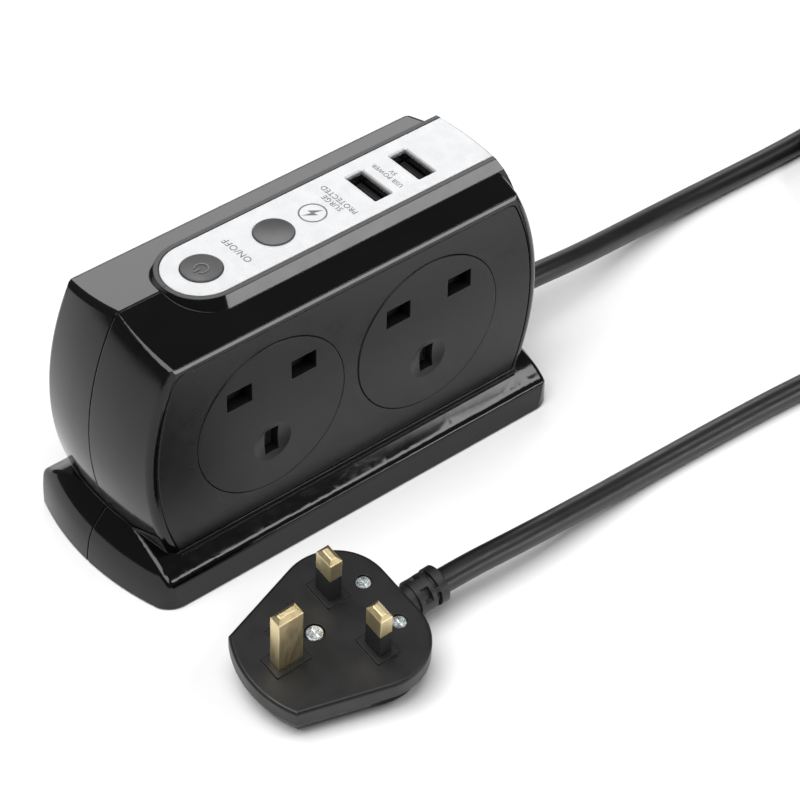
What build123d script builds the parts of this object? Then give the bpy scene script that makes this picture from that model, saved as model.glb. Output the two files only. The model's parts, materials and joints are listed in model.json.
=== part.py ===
from build123d import *

import os
from math import radians, sqrt, tan

os.makedirs("parts", exist_ok=True)

# A compact two-sided power block on a flared plinth: two mains sockets on each broad face, a control
# panel with a power button, a surge light and two USB outlets along the roof, and a mains lead that
# ends in a fused plug. Millimetres. X runs along the block, -Y is the front, Z is up, and the origin is
# the centre of the footprint on the surface that the block stands on.

# ---- driving dimensions -------------------------------------------------------------------------

BODY_HALF = 24.2  # half thickness of the upright block
PLINTH_TOP = 13.4  # where the plinth's ledge meets the front face
EAVES_Z = 79.2
EAVES_FACET = (0.6, 1.3)  # width and height of the flat that breaks the edge at the eaves
RIDGE_Z = 84.0
END_REACH = 72.3  # furthest reach of a bowed end on the seam
END_Z = 43.0  # height of that furthest reach
END_RADIUS = 81.0  # bow of an end in elevation
PLAN_RADIUS = 97.7  # bow of an end in plan
CORNER = 2.4  # rounding of the block's long edges
WALL = 2.4
FRONT_WALL = 3.6

PLINTH_FOOT = 0.5
PLINTH_SIDE = (  # reach in y and height
    (31.5, 0.5),  # foot
    (30.9, 7.8),  # shoulder
    (27.1, 11.5),  # edge of the ledge
    (0.0, 18.4),  # crown, where an end reaches past the block
)
PLINTH_END = ((75.7, 0.5), (75.0, 6.4), (73.1, 11.7), (70.7, 14.7), (65.0, 20.6))
PLINTH_PLAN_RADIUS = 90.0  # bow of a plinth end in plan
PLINTH_CORNER = 7.5  # at the foot, in plan
PLINTH_EDGE = 1.8  # where a side meets an end further up
LEDGE_LINE_Y = 25.4  # fine line along the ledge
LEDGE_LINE_HALF = 61.0
SEAM = 0.5  # width and depth of the line between the two casing halves
PLATE_Z = (1.4, 3.4)  # base plate, below and above
PLATE_GAP = 0.3
SCREW_SPOTS = [(x, y) for x in (-58, 58) for y in (-21, 21)]
FOOT_SPOTS = [(x, y) for x in (-42, 42) for y in (-20, 20)]
FOOT_R = 5.0
POST_R = 3.6
SCREW_R = 1.3

PANEL_REACH = 66.6  # half length of a socket panel at its widest
PANEL_RADIUS = 78.0
PANEL_TOP = 76.6
PANEL_THICK = 2.0
PANEL_CORNER = 3.5
GAP = 0.25  # visible gap round a fitted panel

PITCH = 55.8  # between the two sockets of a face
SOCKET_Z = 45.75
SOCKET_R = 25.56
SOCKET_PROUD = 0.25
POLE_X = 11.11  # live and neutral either side of the socket's middle
POLE_Z = 12.6  # above the socket's middle
EARTH_Z = -9.6  # below it
POLE_SLOT = (8.6, 6.4)
EARTH_SLOT = (4.6, 8.5)
DISH_R = 6.4
DISH_DEPTH = 1.0

SHUTTER_FRONT = 20.25  # distance of a shutter's front face from the middle plane
SHUTTER_THICK = 2.0
SHUTTER_TRAVEL = 7.6
SHUTTER_CLEAR = 0.35
SHUTTER_PAD = (POLE_Z - 4.1, POLE_Z + 4.2)  # foot and top above the socket's middle
SPRING_TOP = 74.5
SPRING_WIRE = 0.3
SPRING_BENDS = 5
SPRING_REACH = 3.0  # of a bend either side of the middle

CARRIER_FRONT = SHUTTER_FRONT - SHUTTER_THICK - SHUTTER_CLEAR
CARRIER_BACK = 6.5
CARRIER_Z = (26.0, 69.0)
CARRIER_HALF = 52.0
POCKET = (10.2, 9.6)  # contact pocket behind a pole slot
EARTH_POCKET = (6.6, 28.0)
BAR_ENDS = (-46.0, 54.0)
BAR_THICK = 0.8
CLIP_THICK = 0.6
CLIP_BACK = 5.4  # distance of a clip's root from the middle plane

TRIM_HALF = 11.45  # silver control panel
TRIM_TOP = 84.85
TRIM_THICK = 1.2
TRIM_LIP_Z = 74.0
TRIM_END_X = -32.6  # centre of the round end, where the button sits
BAND_HALF = 13.1  # raised black band round the silver panel
BAND_DROP = 3.6
BAND_TAPER = 24.0
BAND_FOOT = 66.0
BAND_RISE = 1.5  # how far the band stands off the right-hand end
BUTTON_R = 6.0
BUTTON_TOP = 85.3
BUTTON_TRAVEL = 2.4
LIGHT_X = -7.85
USB_X = (25.7, 41.5)
USB_SHELL = (5.6, 13.0)
USB_SHELL_Z = (70.6, 83.9)
USB_WALL = 0.4
SWITCH_TOP = 78.6
SEAT_Z = 74.6  # where the button's spring stands
STEM_R = 2.2
CAP_FOOT = 81.6
BOARD_Z = (CARRIER_Z[1], 70.6)

CORD_R = 3.7
GLAND_Z = 19.0
GLAND_START = 65.2
GLAND_END = 84.0
GLAND_R = 6.0
CLAMP_X = 61.3  # cord clamp, screwed to the base plate
CLAMP_SPOTS = [(CLAMP_X, y) for y in (-7, 7)]
TAIL_START = 58.6  # where the sheath ends and the leads begin
LEAD_R = 1.2
RISER_X = 57.2
FLOOR_Z = CORD_R + 0.02  # cord axis where it lies on the floor
TOP_LAYER_Z = 11.1  # and where it lies on the coil's lower layer

PIN_PITCH = 22.225  # earth to the live and neutral line, and live to neutral
PLUG_AT = (-63.7, -75.9, 14.46)  # root of the earth pin on the plug's face
PLUG_TURN = (-2.2, 5.4, 9.0)  # yaw, rise towards the cord, lean towards the front, in degrees
PLUG_BASE = 5.7
PLUG_CORD_W = -8.4  # cord axis below the plug's face
PLUG_END = 38.8
PLUG_NARROW = (-8.0, 15.5)  # corner of the earth-pin end
PLUG_NOSE = -12.0
PLUG_FLARE = 29.9
PLUG_ROUND = 16.0
PLUG_TAPER = 22.0
PLUG_BACK = 10.4  # thickness at the earth-pin end, growing towards the cord
PLUG_WALL = 2.2
BOOT_R = 5.6
BOOT_RING = (48.6, 52.0)
CORE_NECK = 0.45  # sleeve thickness round a live or neutral pin
SLEEVE_TOP = 9.5
EARTH_PIN = (7.93, 3.97, 22.73)
POLE_PIN = (3.97, 6.35, 17.73)
COVER_SCREW = (11.2, 2.5)
GRIP_SCREWS = ((31.8, -8.0), (31.8, 8.0))
FUSE_AT = (6.4, -9.2, -5.4)
FUSE_LENGTH = 24.4
FUSE_CAP = 5.4  # length of an end cap

COIL_CENTRE = (248.0, -39.0)
COIL_INNER = 31.0
COIL_OUTER = 54.0
COIL_HEIGHT = 15.4

socket_xs = {"left": -PITCH / 2, "right": PITCH / 2}


def save(part, name):
    part.label = name
    export_step(part, f"parts/{name}.step")


def save_front_and_rear(part, name):
    """Writes a front piece and its mirror image on the rear side."""
    save(part, f"front_{name}")
    with BuildPart() as rear:
        mirror(part, about=Plane.XZ)
    save(rear.part, f"rear_{name}")


# ---- casing ---------------------------------------------------------------------------------------


def end_x(z, inset=0.0):
    """Reach of a bowed end on the seam, at height z."""
    return END_REACH - END_RADIUS + sqrt((END_RADIUS - inset) ** 2 - (z - END_Z) ** 2)


def bow_ends(inset):
    """Trims the part being built to the two bowed ends."""
    low, high = -4.0, 92.0
    axis_x = END_REACH - PLAN_RADIUS
    for side in (1, -1):
        with BuildSketch(Plane.XZ) as profile:
            with BuildLine():
                Polyline(
                    (side * end_x(high, inset), high),
                    (side * axis_x, high),
                    (side * axis_x, low),
                    (side * end_x(low, inset), low),
                )
                ThreePointArc(
                    (side * end_x(low, inset), low),
                    (side * (END_REACH - inset), END_Z),
                    (side * end_x(high, inset), high),
                )
            make_face()
        revolve(profile.sketch, axis=Axis((side * axis_x, 0, 0), (0, 0, 1)), mode=Mode.INTERSECT)


def half_block(half, inset, foot, corner=0.0):
    """Front half of the upright block, with its surfaces moved in by inset."""
    with BuildPart() as block:
        with BuildSketch(Plane.YZ):
            with BuildLine():
                Polyline(
                    (0, foot),
                    (-half, foot),
                    (-half, EAVES_Z - inset),
                    (0, RIDGE_Z - inset),
                    close=True,
                )
            make_face()
        extrude(amount=90, both=True)
        bow_ends(inset)
        if corner:
            rounded = block.edges().filter_by(
                lambda e: e.center().Z > foot + 1 and e.center().Y < -1 and abs(e.center().X) > 50
            )
            fillet(rounded, corner)
        with BuildSketch(Plane.YZ):
            with BuildLine():
                Polyline(
                    (-half, EAVES_Z - inset - EAVES_FACET[1]),
                    (EAVES_FACET[0] - half, EAVES_Z - inset),
                    (-half, EAVES_Z - inset),
                    close=True,
                )
            make_face()
        extrude(amount=90, both=True, mode=Mode.SUBTRACT)
    return block.part


def plinth_form(inset, edge=0.0):
    """Front half of the flared plinth, with its surfaces moved in by inset."""

    def moved(points):
        return [(reach - inset, z if z == PLINTH_FOOT else z - inset) for reach, z in points]

    axis_x = PLINTH_END[0][0] - PLINTH_PLAN_RADIUS
    with BuildPart() as plinth:
        foot, shoulder, ledge, crown = [(-reach, z) for reach, z in moved(PLINTH_SIDE)]
        with BuildSketch(Plane.YZ):
            with BuildLine():
                Polyline(crown, (0, PLINTH_FOOT), foot, shoulder)
                Spline(shoulder, ledge, tangents=((0.1, 1), (1, 0.68)))
                Spline(ledge, crown, tangents=((1, 0.68), (1, 0.1)))
            make_face()
        extrude(amount=90, both=True)
        for side in (1, -1):
            end = [(side * reach, z) for reach, z in moved(PLINTH_END)]
            with BuildSketch(Plane.XZ) as profile:
                with BuildLine():
                    Spline(*end)
                    Polyline(
                        end[-1],
                        (side * axis_x, end[-1][1]),
                        (side * axis_x, PLINTH_FOOT),
                        end[0],
                    )
                make_face()
            revolve(profile.sketch, axis=Axis((side * axis_x, 0, 0), (0, 0, 1)), mode=Mode.INTERSECT)
        if edge:
            corners = plinth.edges().filter_by(
                lambda e: abs(e.center().X) > 60 and e.center().Y < ledge[0] and 3 < e.center().Z < 12.6
            )
            fillet(corners, edge)
        x, y = PLINTH_END[0][0] - inset, PLINTH_SIDE[0][0] - inset
        bow = y**2 / (2 * PLINTH_PLAN_RADIUS)
        with BuildSketch(Plane.XY) as plan:
            with BuildLine():
                Line((x - bow, y), (bow - x, y))
                ThreePointArc((bow - x, y), (-x, 0), (bow - x, -y))
                Line((bow - x, -y), (x - bow, -y))
                ThreePointArc((x - bow, -y), (x, 0), (x - bow, y))
            outline = make_face()
            fillet(outline.vertices(), PLINTH_CORNER - inset / 2)
        extrude(plan.sketch, amount=40, mode=Mode.INTERSECT)
    return plinth.part


def band_form():
    """Raised band along the ridge: rounded at the left, turned down over the right-hand end."""
    with BuildPart() as band:
        with BuildSketch(Plane.XY.offset(TRIM_TOP)):
            trim_outline(BAND_HALF)
        extrude(amount=-BAND_DROP, taper=-BAND_TAPER)
        extrude(band.faces().sort_by(Axis.Z)[0], amount=TRIM_TOP - BAND_DROP - BAND_FOOT)
        bow_ends(-BAND_RISE)
        split(bisect_by=Plane.XZ, keep=Keep.TOP)
    return band.part


def trim_outline(half):
    """Bar with one round end at the button, running off past the right-hand end."""
    beyond = 90.0
    with Locations((TRIM_END_X, 0)):
        Circle(half)
    with Locations(((TRIM_END_X + beyond) / 2, 0)):
        Rectangle(beyond - TRIM_END_X, 2 * half)


def trim_form(half, top, thick, rise, lip_z):
    """Bar of that outline, thick on the roof and on its lip down the right-hand end."""
    with BuildPart() as trim:
        with BuildSketch(Plane.XY.offset(top)):
            trim_outline(half)
        extrude(amount=lip_z - top)
        bow_ends(-rise)
    with BuildPart() as under:
        with Locations((0, 0, top - thick - 50)):
            Box(200, 60, 100)
        bow_ends(thick - rise)
    with BuildPart() as skin:
        add(trim.part)
        add(under.part, mode=Mode.SUBTRACT)
    return skin.part


def panel_outline(gap):
    """Outline of a socket panel on the front face, grown by gap."""
    reach, top, foot = PANEL_REACH + gap, PANEL_TOP + gap, PLINTH_TOP + 0.2 - gap

    def edge_x(z):
        return reach - PANEL_RADIUS + sqrt(PANEL_RADIUS**2 - (z - END_Z) ** 2)

    with BuildSketch(Plane.XZ.offset(BODY_HALF)) as outline:
        with BuildLine():
            Line((-edge_x(foot), foot), (edge_x(foot), foot))
            ThreePointArc((edge_x(foot), foot), (reach, END_Z), (edge_x(top), top))
            Line((edge_x(top), top), (-edge_x(top), top))
            ThreePointArc((-edge_x(top), top), (-reach, END_Z), (-edge_x(foot), foot))
        face = make_face()
        fillet(face.vertices().group_by(Axis.Y)[-1], PANEL_CORNER + gap)
    return outline.sketch


block = half_block(BODY_HALF, 0, 1, CORNER)
block_core = half_block(BODY_HALF - SEAM, SEAM, 1, CORNER - SEAM)
block_cavity = half_block(BODY_HALF - FRONT_WALL, WALL, -3)
plinth = plinth_form(0, PLINTH_EDGE)
plinth_core = plinth_form(SEAM, PLINTH_EDGE)
plinth_cavity = plinth_form(WALL)
band = band_form()
trim_pocket = trim_form(
    TRIM_HALF + GAP, TRIM_TOP + 1, TRIM_THICK + 1, BAND_RISE + 1, TRIM_LIP_Z - GAP
)

with BuildPart() as seam_groove:
    with Locations((0, -SEAM / 4, 50)):
        Box(200, SEAM / 2, 120)
    add(block_core, mode=Mode.SUBTRACT)
    add(plinth_core, mode=Mode.SUBTRACT)
    add(band, mode=Mode.SUBTRACT)

with BuildPart() as front_casing:
    add(block)
    add(plinth)
    add(band)
    add(block_cavity, mode=Mode.SUBTRACT)
    add(plinth_cavity, mode=Mode.SUBTRACT)
    with Locations((0, -15, PLINTH_FOOT)):  # open underside
        Box(2 * (PLINTH_END[0][0] - 14), 26, 8, mode=Mode.SUBTRACT)
    with Locations(*[(x, y, PLATE_Z[1]) for x, y in SCREW_SPOTS if y < 0]):
        Cylinder(POST_R, PLINTH_TOP - PLATE_Z[1] - 1.8, align=(Align.CENTER, Align.CENTER, Align.MIN))
        Cylinder(SCREW_R, 8, align=(Align.CENTER, Align.CENTER, Align.MIN), mode=Mode.SUBTRACT)
    add(trim_pocket, mode=Mode.SUBTRACT)
    extrude(panel_outline(GAP), amount=-PANEL_THICK, mode=Mode.SUBTRACT)
    with BuildSketch(Plane.XZ.offset(BODY_HALF)):
        with Locations(*[(x, SOCKET_Z) for x in socket_xs.values()]):
            Circle(SOCKET_R - 1.2)
    extrude(amount=-FRONT_WALL, mode=Mode.SUBTRACT)
    for x, radius in ((TRIM_END_X, BUTTON_R + 0.5), (LIGHT_X, BUTTON_R + 1.1)):
        with Locations((x, 0, RIDGE_Z)):
            Cylinder(radius, 12, mode=Mode.SUBTRACT)
    with Locations(*[(x, 0, RIDGE_Z) for x in USB_X]):
        Box(USB_SHELL[0] + 0.8, USB_SHELL[1] + 0.8, 12, mode=Mode.SUBTRACT)
    with Locations((GLAND_START + 5, 0, GLAND_Z)):
        Cylinder(GLAND_R + 0.1, 26, rotation=(0, 90, 0), mode=Mode.SUBTRACT)
    with Locations((0, -LEDGE_LINE_Y, PLINTH_TOP - 0.7)):
        Box(2 * LEDGE_LINE_HALF, 0.4, 1.0, mode=Mode.SUBTRACT)
    add(seam_groove.part, mode=Mode.SUBTRACT)
save_front_and_rear(front_casing.part, "casing")

with BuildPart() as base_plate:
    add(plinth_form(WALL + PLATE_GAP))
    mirror(about=Plane.XZ)
    with Locations((0, 0, sum(PLATE_Z) / 2)):
        Box(160, 80, PLATE_Z[1] - PLATE_Z[0], mode=Mode.INTERSECT)
    with Locations(*[(*spot, PLATE_Z[1]) for spot in CLAMP_SPOTS]):
        Cylinder(3, 10.4, align=(Align.CENTER, Align.CENTER, Align.MIN))
    with Locations(*[(x, y, PLATE_Z[0]) for x, y in SCREW_SPOTS]):
        Cylinder(2.9, 2.4, mode=Mode.SUBTRACT)
        Cylinder(SCREW_R + 0.3, 12, mode=Mode.SUBTRACT)
    with Locations(*[(x, y, PLATE_Z[0]) for x, y in FOOT_SPOTS]):
        Cylinder(FOOT_R + 0.1, 1.2, mode=Mode.SUBTRACT)
    with Locations(*[(*spot, 14) for spot in CLAMP_SPOTS]):
        Cylinder(SCREW_R, 14, mode=Mode.SUBTRACT)
save(base_plate.part, "base_plate")

with BuildPart() as base_screws:
    with Locations(*[(x, y, PLATE_Z[0] + 1.2) for x, y in SCREW_SPOTS]):
        Cylinder(2.7, 1.1, align=(Align.CENTER, Align.CENTER, Align.MAX))
        Cylinder(SCREW_R, 8.5, align=(Align.CENTER, Align.CENTER, Align.MIN))
save(base_screws.part, "base_screws")

with BuildPart() as rubber_feet:
    with Locations(*[(x, y, 0) for x, y in FOOT_SPOTS]):
        Cylinder(FOOT_R, PLATE_Z[0] + 0.6, align=(Align.CENTER, Align.CENTER, Align.MIN))
    fillet(rubber_feet.edges().group_by(Axis.Z)[0], 0.4)
save(rubber_feet.part, "rubber_feet")

# ---- sockets --------------------------------------------------------------------------------------

with BuildPart() as front_socket_panel:
    extrude(panel_outline(0), amount=-PANEL_THICK)
    front_edge = front_socket_panel.faces().sort_by(Axis.Y)[0].edges()
    chamfer(front_edge, 0.25)
    with Locations(*[(x, -BODY_HALF, SOCKET_Z) for x in socket_xs.values()]):
        Cylinder(SOCKET_R, 3 * PANEL_THICK, rotation=(90, 0, 0), mode=Mode.SUBTRACT)
save_front_and_rear(front_socket_panel.part, "socket_panel")

for side, x in socket_xs.items():
    with BuildPart() as socket_face:
        with Locations(Plane.XZ.offset(BODY_HALF - PANEL_THICK) * Pos(x, SOCKET_Z)):
            Cylinder(
                SOCKET_R - GAP,
                PANEL_THICK + SOCKET_PROUD,
                align=(Align.CENTER, Align.CENTER, Align.MIN),
            )
            Cylinder(
                SOCKET_R - 1.4,
                FRONT_WALL - PANEL_THICK,
                align=(Align.CENTER, Align.CENTER, Align.MAX),
            )
        chamfer(socket_face.faces().sort_by(Axis.Y)[0].edges(), 0.2)
        face_y = -BODY_HALF - SOCKET_PROUD
        with Locations(*[(x + dx, face_y, SOCKET_Z + POLE_Z) for dx in (-POLE_X, POLE_X)]):
            Box(POLE_SLOT[0], 12, POLE_SLOT[1], mode=Mode.SUBTRACT)
        with Locations((x, face_y, SOCKET_Z + EARTH_Z)):
            Box(EARTH_SLOT[0], 12, EARTH_SLOT[1], mode=Mode.SUBTRACT)
        dish_radius = (DISH_R**2 + DISH_DEPTH**2) / (2 * DISH_DEPTH)
        with Locations((x, face_y - dish_radius + DISH_DEPTH, SOCKET_Z + EARTH_Z)):
            Sphere(dish_radius, mode=Mode.SUBTRACT)
    save_front_and_rear(socket_face.part, f"{side}_socket_face")

    with BuildPart() as shutter:  # pads behind the poles, a ramp behind the earth slot
        pad_height = SHUTTER_PAD[1] - SHUTTER_PAD[0]
        pad_z = SOCKET_Z + (SHUTTER_PAD[1] + SHUTTER_PAD[0]) / 2
        mid_y = -SHUTTER_FRONT + SHUTTER_THICK / 2
        with Locations(*[(x + dx, mid_y, pad_z) for dx in (-POLE_X, POLE_X)]):
            Box(POLE_SLOT[0] + 1.8, SHUTTER_THICK, pad_height)
        with Locations((x, mid_y, SOCKET_Z + SHUTTER_PAD[1])):
            Box(2 * POLE_X, SHUTTER_THICK, 4, align=(Align.CENTER, Align.CENTER, Align.MAX))
            Box(6, SHUTTER_THICK, 15, align=(Align.CENTER, Align.CENTER, Align.MAX))
        with BuildSketch(Plane.YZ.offset(x)):
            with BuildLine():
                Polyline(
                    (-SHUTTER_FRONT, SOCKET_Z + EARTH_Z + EARTH_SLOT[1] / 2),
                    (-SHUTTER_FRONT + SHUTTER_TRAVEL, SOCKET_Z + EARTH_Z - EARTH_SLOT[1] / 2 + 0.9),
                    (-SHUTTER_FRONT + SHUTTER_TRAVEL, SOCKET_Z + 2.5),
                    (-SHUTTER_FRONT, SOCKET_Z + 2.5),
                    close=True,
                )
            make_face()
        extrude(amount=2.9, both=True)
    save_front_and_rear(shutter.part, f"{side}_shutter")

    with BuildPart() as shutter_spring:  # flat zigzag return spring
        foot_z = SOCKET_Z + SHUTTER_PAD[1] + SPRING_WIRE
        step = (SPRING_TOP - SPRING_WIRE - foot_z) / (SPRING_BENDS + 1)
        swings = [SPRING_REACH * (-1) ** n for n in range(1, SPRING_BENDS + 1)]
        bends = [(x, foot_z)]
        bends += [(x + swing, foot_z + n * step) for n, swing in enumerate(swings, 1)]
        bends += [(x, SPRING_TOP - SPRING_WIRE)]
        with BuildSketch(Plane.XZ.offset(SHUTTER_FRONT - 1.4)):
            with BuildLine():
                Polyline(*bends)
                offset(amount=SPRING_WIRE, side=Side.BOTH)
            make_face()
        extrude(amount=-0.9)
    save_front_and_rear(shutter_spring.part, f"{side}_shutter_spring")

with BuildPart() as front_contact_carrier:
    with BuildSketch(Plane.YZ):
        with BuildLine():
            Polyline(
                (-CARRIER_FRONT, CARRIER_Z[0]),
                (-CARRIER_FRONT, SPRING_TOP),
                (-SHUTTER_FRONT, SPRING_TOP),
                (-SHUTTER_FRONT, SPRING_TOP + 1.2),
                (3 - CARRIER_FRONT, SPRING_TOP + 1.2),
                (3 - CARRIER_FRONT, CARRIER_Z[1]),
                (-CARRIER_BACK, CARRIER_Z[1]),
                (-CARRIER_BACK, CARRIER_Z[0]),
                close=True,
            )
        make_face()
    extrude(amount=CARRIER_HALF, both=True)
    for x in socket_xs.values():
        with Locations(*[(x + dx, -CARRIER_FRONT, SOCKET_Z + POLE_Z) for dx in (-POLE_X, POLE_X)]):
            Box(POCKET[0], 40, POCKET[1], mode=Mode.SUBTRACT)
        with Locations((x, -CARRIER_FRONT, SOCKET_Z + EARTH_Z + EARTH_POCKET[1] / 2 - 6)):
            Box(EARTH_POCKET[0], 40, EARTH_POCKET[1], mode=Mode.SUBTRACT)
save_front_and_rear(front_contact_carrier.part, "contact_carrier")


def busbar(name, strip_z, strip_height, clips, clip_width, blade_gap, blades_upright, clip_tip):
    """Brass strip in the middle plane with a two-bladed clip at each (x, y side, z)."""
    with BuildPart() as bar:
        length = BAR_ENDS[1] - BAR_ENDS[0]
        with Locations((sum(BAR_ENDS) / 2, 0, strip_z)):
            Box(length, BAR_THICK, strip_height)
        for x, side, z in clips:
            low = min(z - 3.2, strip_z - strip_height / 2)
            high = max(z + 3.2, strip_z + strip_height / 2)
            with Locations((x, side * (CLIP_BACK + BAR_THICK / 2), (low + high) / 2)):
                Box(clip_width, BAR_THICK, high - low)
            with Locations((x, side * CLIP_BACK / 2, strip_z)):
                Box(clip_width, CLIP_BACK, strip_height)
            reach = clip_tip - CLIP_BACK
            for across in (-1, 1):
                shift = across * (blade_gap + CLIP_THICK) / 2
                spot = (x + shift, z) if blades_upright else (x, z + shift)
                size = (CLIP_THICK, 6.4) if blades_upright else (clip_width, CLIP_THICK)
                with Locations((spot[0], side * (CLIP_BACK + reach / 2), spot[1])):
                    Box(size[0], reach, size[1])
    save(bar.part, name)


pole_z = SOCKET_Z + POLE_Z
live_clips = [(x + side * POLE_X, side, pole_z) for x in socket_xs.values() for side in (-1, 1)]
neutral_clips = [(x - side * POLE_X, side, pole_z) for x in socket_xs.values() for side in (-1, 1)]
earth_clips = [(x, side, SOCKET_Z + EARTH_Z) for x in socket_xs.values() for side in (-1, 1)]
busbar("live_busbar", 49, 4, live_clips, 5.5, 3.7, False, 16.4)
busbar("neutral_busbar", 65.6, 3.4, neutral_clips, 5.5, 3.7, False, 16.4)
busbar("earth_busbar", 36.15, 4, earth_clips, 5.2, 3.7, True, 11.6)

# ---- control panel and what it carries ----------------------------------------------------------

with BuildPart() as control_panel:
    add(trim_form(TRIM_HALF, TRIM_TOP, TRIM_THICK, BAND_RISE, TRIM_LIP_Z))
    roof_edges = control_panel.edges().group_by(Axis.Z)[-1]
    fillet(roof_edges.filter_by(lambda edge: edge.center().X > USB_X[1] + 14), 1.0)
    with Locations((TRIM_END_X, 0, TRIM_TOP)):
        Cylinder(BUTTON_R + 0.15, 6, mode=Mode.SUBTRACT)
    with Locations((LIGHT_X, 0, TRIM_TOP)):
        Cylinder(BUTTON_R, 6, mode=Mode.SUBTRACT)
    for x in USB_X:
        with BuildSketch(Plane.XY.offset(TRIM_TOP)) as mouth:
            with Locations((x, 0)):
                Rectangle(USB_SHELL[0] + 1.0, USB_SHELL[1] + 1.0)
                fillet(mouth.vertices(), 0.5)
        extrude(amount=-0.5, taper=45, mode=Mode.SUBTRACT)
        with Locations((x, 0, TRIM_TOP)):
            Box(USB_SHELL[0] + 0.2, USB_SHELL[1] + 0.2, 6, mode=Mode.SUBTRACT)
save(control_panel.part, "control_panel")

with BuildPart() as power_button:
    with BuildSketch(Plane.XY.offset(CAP_FOOT)):
        with Locations((TRIM_END_X, 0)):
            Circle(BUTTON_R - 0.05)
    extrude(amount=BUTTON_TOP - CAP_FOOT)
    fillet(power_button.edges().group_by(Axis.Z)[-1], 0.5)
    with Locations((TRIM_END_X, 0, BUTTON_TOP + 29.4)):
        Sphere(30, mode=Mode.SUBTRACT)
    with Locations((TRIM_END_X, 0, CAP_FOOT)):
        Cylinder(STEM_R, 11.5, align=(Align.CENTER, Align.CENTER, Align.MAX))
save(power_button.part, "power_button")

with BuildPart() as switch_body:
    with Locations((TRIM_END_X, 0, SWITCH_TOP)):
        Box(13, 13, 11, align=(Align.CENTER, Align.CENTER, Align.MAX))
        Cylinder(STEM_R + 0.15, 50, mode=Mode.SUBTRACT)
    with Locations((TRIM_END_X, 0, SEAT_Z)):
        Cylinder(4.6, 10, align=(Align.CENTER, Align.CENTER, Align.MIN), mode=Mode.SUBTRACT)
    fillet(switch_body.edges().filter_by(Axis.Z), 0.6)
save(switch_body.part, "switch_body")

with BuildPart() as button_spring:
    height = CAP_FOOT - SEAT_Z - 2.5 * SPRING_WIRE
    with BuildLine() as helix:
        Helix(height / 4, height, 3.5, center=(TRIM_END_X, 0, SEAT_Z + 1.25 * SPRING_WIRE))
    with BuildSketch(Plane(origin=helix.line @ 0, z_dir=helix.line % 0)):
        Circle(SPRING_WIRE)
    sweep(is_frenet=True)
save(button_spring.part, "button_spring")

with BuildPart() as surge_light_lens:
    foot = TRIM_TOP - TRIM_THICK
    with Locations((LIGHT_X, 0, foot)):
        Cylinder(BUTTON_R - 0.05, BUTTON_TOP - foot, align=(Align.CENTER, Align.CENTER, Align.MIN))
        Cylinder(BUTTON_R + 0.8, 1.2, align=(Align.CENTER, Align.CENTER, Align.MAX))
    fillet(surge_light_lens.edges().group_by(Axis.Z)[-1], 0.5)
    with Locations((LIGHT_X, 0, BUTTON_TOP + 29.4)):
        Sphere(30, mode=Mode.SUBTRACT)
save(surge_light_lens.part, "surge_light_lens")

with BuildPart() as neon_lamp:
    with Locations((LIGHT_X, 0, BOARD_Z[1] + 1.5)):
        Cylinder(2.6, 7, align=(Align.CENTER, Align.CENTER, Align.MIN))
    fillet(neon_lamp.edges().group_by(Axis.Z)[-1], 2.0)
    with Locations(*[(LIGHT_X + dx, 0, BOARD_Z[1]) for dx in (-1.3, 1.3)]):
        Cylinder(0.35, 2, align=(Align.CENTER, Align.CENTER, Align.MIN))
save(neon_lamp.part, "neon_lamp")


def circuit_board(name, x_range):
    """Board lying between the two contact carriers, under the roof."""
    with BuildPart() as board:
        with Locations((sum(x_range) / 2, 0, BOARD_Z[0])):
            Box(
                x_range[1] - x_range[0], 20, BOARD_Z[1] - BOARD_Z[0],
                align=(Align.CENTER, Align.CENTER, Align.MIN),
            )
        fillet(board.edges().filter_by(Axis.Z), 1.0)
    save(board.part, name)


circuit_board("surge_board", (-23.0, 11.0))
circuit_board("usb_charger_board", (13.0, 55.0))

with BuildPart() as varistors:
    with Locations(*[Location((x, 0, BOARD_Z[1] + 5.0), (0, 90, 0)) for x in (-19, -14.5, 3.5)]):
        Cylinder(5.0, 3.0)
    fillet(varistors.edges().filter_by(GeomType.CIRCLE), 0.8)
save(varistors.part, "varistors")

with BuildPart() as charger_transformer:
    with Locations((17.2, 0, BOARD_Z[1])):
        Box(7, 9, 7.5, align=(Align.CENTER, Align.CENTER, Align.MIN))
        Box(3, 13, 5, align=(Align.CENTER, Align.CENTER, Align.MIN))
save(charger_transformer.part, "charger_transformer")

with BuildPart() as charger_capacitors:
    spots = [(x, y) for x in (33.6, 49.5) for y in (-4.8, 4.8)]
    with Locations(*[(*spot, BOARD_Z[1]) for spot in spots]):
        Cylinder(3.2, 8.5, align=(Align.CENTER, Align.CENTER, Align.MIN))
    fillet(charger_capacitors.edges().group_by(Axis.Z)[-1], 0.5)
save(charger_capacitors.part, "charger_capacitors")

for side, x in zip(("left", "right"), USB_X):
    low, high = USB_SHELL_Z
    with BuildPart() as usb_shell:
        with Locations((x, 0, low)):
            Box(*USB_SHELL, high - low, align=(Align.CENTER, Align.CENTER, Align.MIN))
        fillet(usb_shell.edges().filter_by(Axis.Z), 0.5)
        with Locations((x, 0, low + USB_WALL)):
            Box(
                USB_SHELL[0] - 2 * USB_WALL, USB_SHELL[1] - 2 * USB_WALL, high - low,
                align=(Align.CENTER, Align.CENTER, Align.MIN), mode=Mode.SUBTRACT,
            )
    save(usb_shell.part, f"{side}_usb_shell")

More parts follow.
